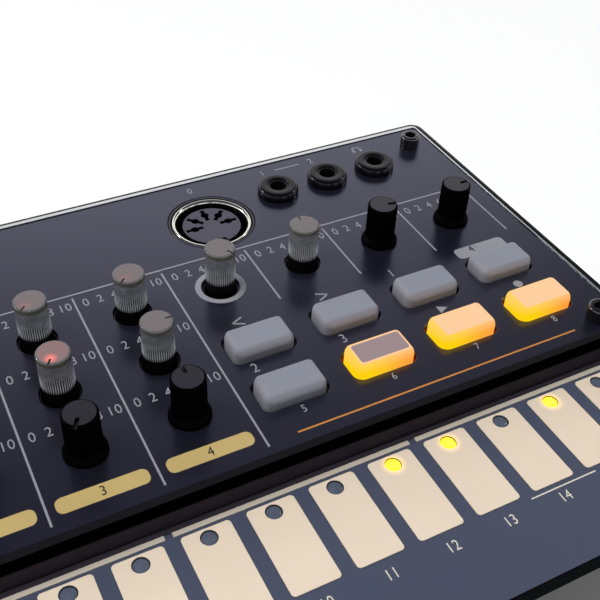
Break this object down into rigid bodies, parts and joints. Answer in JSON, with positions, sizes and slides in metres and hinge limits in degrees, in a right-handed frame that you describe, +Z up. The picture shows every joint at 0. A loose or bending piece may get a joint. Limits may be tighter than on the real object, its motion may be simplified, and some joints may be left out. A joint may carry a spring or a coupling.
{
  "type": "drum machine",
  "caption": "Compact battery-powered drum machine with a dark knob panel, silicone keys and a stepped front touch strip.",
  "frame": {"origin": "middle of the footprint, on the surface the machine stands on", "axes": "+X to the right-hand side, +Y to the rear with the power inlet, +Z up"},
  "size_m": [0.193, 0.115, 0.046],
  "materials": {
    "panel": "satin",
    "case": "gloss",
    "lower_case": "satin",
    "circuit_board": "satin",
    "strip_board": "satin",
    "pads": "satin",
    "step_lamps": "gloss",
    "key_lamps": "gloss",
    "knob_lamps": "gloss",
    "black_plastic": "satin",
    "silicone": "matt",
    "key_silicone": "matt",
    "lit_key": "matt",
    "chrome": "polished",
    "insulator": "satin",
    "brass": "plain",
    "black_nut": "gloss",
    "cell_sleeve": "gloss",
    "spring_steel": "plain",
    "speaker_steel": "satin",
    "cone_paper": "matt",
    "foot_rubber": "matt",
    "black_screw": "gloss",
    "ribbon": "satin",
    "chips": "satin",
    "clear_knob": "gloss",
    "black_knob": "satin"
  },
  "bodies": {
    "case": {"top_panel": "panel", "upper_case": "case", "lower_case": "lower_case", "main_board": "circuit_board", "strip_board": "strip_board", "touch_pads": "pads", "beat_bars": "pads", "step_leds": "step_lamps", "key_leds": "key_lamps", "knob_leds": "knob_lamps", "pot_bodies": "black_plastic", "tact_switches": "black_plastic", "key_mat": "silicone", "midi_shell": "chrome", "midi_insert": "insulator", "midi_contacts": "brass", "jack_bodies": "black_plastic", "jack_nuts": "black_nut", "dc_jack": "black_plastic", "power_switch": "black_plastic", "batteries": "cell_sleeve", "battery_springs": "spring_steel", "battery_plates": "spring_steel", "speaker_frame": "speaker_steel", "speaker_cone": "cone_paper", "rubber_feet": "foot_rubber", "panel_screws": "black_screw", "case_screws": "black_screw", "standoffs": "brass", "board_screws": "spring_steel", "strip_ribbon": "ribbon", "board_components": "chips"},
    "knob_delay_time": {"knob_delay_time": "black_knob"},
    "knob_delay_depth": {"knob_delay_depth": "clear_knob"},
    "knob_kick_click": {"knob_kick_click": "clear_knob"},
    "knob_kick_pitch": {"knob_kick_pitch": "clear_knob"},
    "knob_kick_decay": {"knob_kick_decay": "black_knob"},
    "knob_snare_snap": {"knob_snare_snap": "clear_knob"},
    "knob_snare_pitch": {"knob_snare_pitch": "clear_knob"},
    "knob_snare_decay": {"knob_snare_decay": "black_knob"},
    "knob_hi_tom_pitch": {"knob_hi_tom_pitch": "clear_knob"},
    "knob_lo_tom_pitch": {"knob_lo_tom_pitch": "clear_knob"},
    "knob_tom_decay": {"knob_tom_decay": "black_knob"},
    "knob_closed_hat_decay": {"knob_closed_hat_decay": "clear_knob"},
    "knob_open_hat_decay": {"knob_open_hat_decay": "clear_knob"},
    "knob_hat_grain": {"knob_hat_grain": "black_knob"},
    "knob_sample_speed": {"knob_sample_speed": "clear_knob"},
    "knob_tempo": {"knob_tempo": "clear_knob"},
    "knob_part_level": {"knob_part_level": "black_knob"},
    "knob_volume": {"knob_volume": "black_knob"},
    "key_previous": {"key_previous": "key_silicone"},
    "key_next": {"key_next": "key_silicone"},
    "key_mute": {"key_mute": "key_silicone"},
    "key_function": {"key_function": "key_silicone"},
    "key_memory": {"key_memory": "key_silicone"},
    "key_step_mode": {"key_step_mode": "lit_key"},
    "key_play": {"key_play": "lit_key"},
    "key_record": {"key_record": "lit_key"},
    "power_button": {"power_button": "black_plastic"},
    "battery_door": {"battery_door": "lower_case"}
  },
  "joints": [
    {"name": "knob_delay_time_turn", "type": "hinge", "parent": "case", "child": "knob_delay_time", "pos_m": [-0.07835, 0.021, 0.034], "axis": [0, 0, 1], "range_deg": [-210, 90]},
    {"name": "knob_delay_depth_turn", "type": "hinge", "parent": "case", "child": "knob_delay_depth", "pos_m": [-0.06055, 0.021, 0.034], "axis": [0, 0, 1], "range_deg": [-240, 60]},
    {"name": "knob_kick_click_turn", "type": "hinge", "parent": "case", "child": "knob_kick_click", "pos_m": [-0.04275, 0.021, 0.034], "axis": [0, 0, 1], "range_deg": [-180, 120]},
    {"name": "knob_kick_pitch_turn", "type": "hinge", "parent": "case", "child": "knob_kick_pitch", "pos_m": [-0.04275, 0.007, 0.034], "axis": [0, 0, 1], "range_deg": [-150, 150]},
    {"name": "knob_kick_decay_turn", "type": "hinge", "parent": "case", "child": "knob_kick_decay", "pos_m": [-0.04275, -0.007, 0.034], "axis": [0, 0, 1], "range_deg": [-90, 210]},
    {"name": "knob_snare_snap_turn", "type": "hinge", "parent": "case", "child": "knob_snare_snap", "pos_m": [-0.02495, 0.021, 0.034], "axis": [0, 0, 1], "range_deg": [-120, 180]},
    {"name": "knob_snare_pitch_turn", "type": "hinge", "parent": "case", "child": "knob_snare_pitch", "pos_m": [-0.02495, 0.007, 0.034], "axis": [0, 0, 1], "range_deg": [-195, 105]},
    {"name": "knob_snare_decay_turn", "type": "hinge", "parent": "case", "child": "knob_snare_decay", "pos_m": [-0.02495, -0.007, 0.034], "axis": [0, 0, 1], "range_deg": [-150, 150]},
    {"name": "knob_hi_tom_pitch_turn", "type": "hinge", "parent": "case", "child": "knob_hi_tom_pitch", "pos_m": [-0.00715, 0.021, 0.034], "axis": [0, 0, 1], "range_deg": [-285, 15]},
    {"name": "knob_lo_tom_pitch_turn", "type": "hinge", "parent": "case", "child": "knob_lo_tom_pitch", "pos_m": [-0.00715, 0.007, 0.034], "axis": [0, 0, 1], "range_deg": [-300, 0]},
    {"name": "knob_tom_decay_turn", "type": "hinge", "parent": "case", "child": "knob_tom_decay", "pos_m": [-0.00715, -0.007, 0.034], "axis": [0, 0, 1], "range_deg": [-300, 0]},
    {"name": "knob_closed_hat_decay_turn", "type": "hinge", "parent": "case", "child": "knob_closed_hat_decay", "pos_m": [0.01065, 0.021, 0.034], "axis": [0, 0, 1], "range_deg": [-285, 15]},
    {"name": "knob_open_hat_decay_turn", "type": "hinge", "parent": "case", "child": "knob_open_hat_decay", "pos_m": [0.01065, 0.007, 0.034], "axis": [0, 0, 1], "range_deg": [-60, 240]},
    {"name": "knob_hat_grain_turn", "type": "hinge", "parent": "case", "child": "knob_hat_grain", "pos_m": [0.01065, -0.007, 0.034], "axis": [0, 0, 1], "range_deg": [-150, 150]},
    {"name": "knob_sample_speed_turn", "type": "hinge", "parent": "case", "child": "knob_sample_speed", "pos_m": [0.02845, 0.021, 0.034], "axis": [0, 0, 1], "range_deg": [-3, 297]},
    {"name": "knob_tempo_turn", "type": "hinge", "parent": "case", "child": "knob_tempo", "pos_m": [0.04625, 0.021, 0.034], "axis": [0, 0, 1], "range_deg": [-150, 150]},
    {"name": "knob_part_level_turn", "type": "hinge", "parent": "case", "child": "knob_part_level", "pos_m": [0.06405, 0.021, 0.034], "axis": [0, 0, 1], "range_deg": [-45, 255]},
    {"name": "knob_volume_turn", "type": "hinge", "parent": "case", "child": "knob_volume", "pos_m": [0.08185, 0.021, 0.034], "axis": [0, 0, 1], "range_deg": [-60, 240]},
    {"name": "key_previous_press", "type": "slide", "parent": "case", "child": "key_previous", "axis": [0, 0, -1], "range_m": [0, 0.001], "stiffness_N_per_m": 800, "springref_m": -0.0005},
    {"name": "key_next_press", "type": "slide", "parent": "case", "child": "key_next", "axis": [0, 0, -1], "range_m": [0, 0.001], "stiffness_N_per_m": 800, "springref_m": -0.0005},
    {"name": "key_mute_press", "type": "slide", "parent": "case", "child": "key_mute", "axis": [0, 0, -1], "range_m": [0, 0.001], "stiffness_N_per_m": 800, "springref_m": -0.0005},
    {"name": "key_function_press", "type": "slide", "parent": "case", "child": "key_function", "axis": [0, 0, -1], "range_m": [0, 0.001], "stiffness_N_per_m": 800, "springref_m": -0.0005},
    {"name": "key_memory_press", "type": "slide", "parent": "case", "child": "key_memory", "axis": [0, 0, -1], "range_m": [0, 0.001], "stiffness_N_per_m": 800, "springref_m": -0.0005},
    {"name": "key_step_mode_press", "type": "slide", "parent": "case", "child": "key_step_mode", "axis": [0, 0, -1], "range_m": [0, 0.001], "stiffness_N_per_m": 800, "springref_m": -0.0005},
    {"name": "key_play_press", "type": "slide", "parent": "case", "child": "key_play", "axis": [0, 0, -1], "range_m": [0, 0.001], "stiffness_N_per_m": 800, "springref_m": -0.0005},
    {"name": "key_record_press", "type": "slide", "parent": "case", "child": "key_record", "axis": [0, 0, -1], "range_m": [0, 0.001], "stiffness_N_per_m": 800, "springref_m": -0.0005},
    {"name": "power_button_press", "type": "slide", "parent": "case", "child": "power_button", "axis": [0, -1, 0], "range_m": [0, 0.002], "stiffness_N_per_m": 600, "springref_m": -0.0005},
    {"name": "battery_door_open", "type": "hinge", "parent": "case", "child": "battery_door", "pos_m": [0, 0.00405, 0.0015], "axis": [1, 0, 0], "range_deg": [0, 90]}
  ]
}
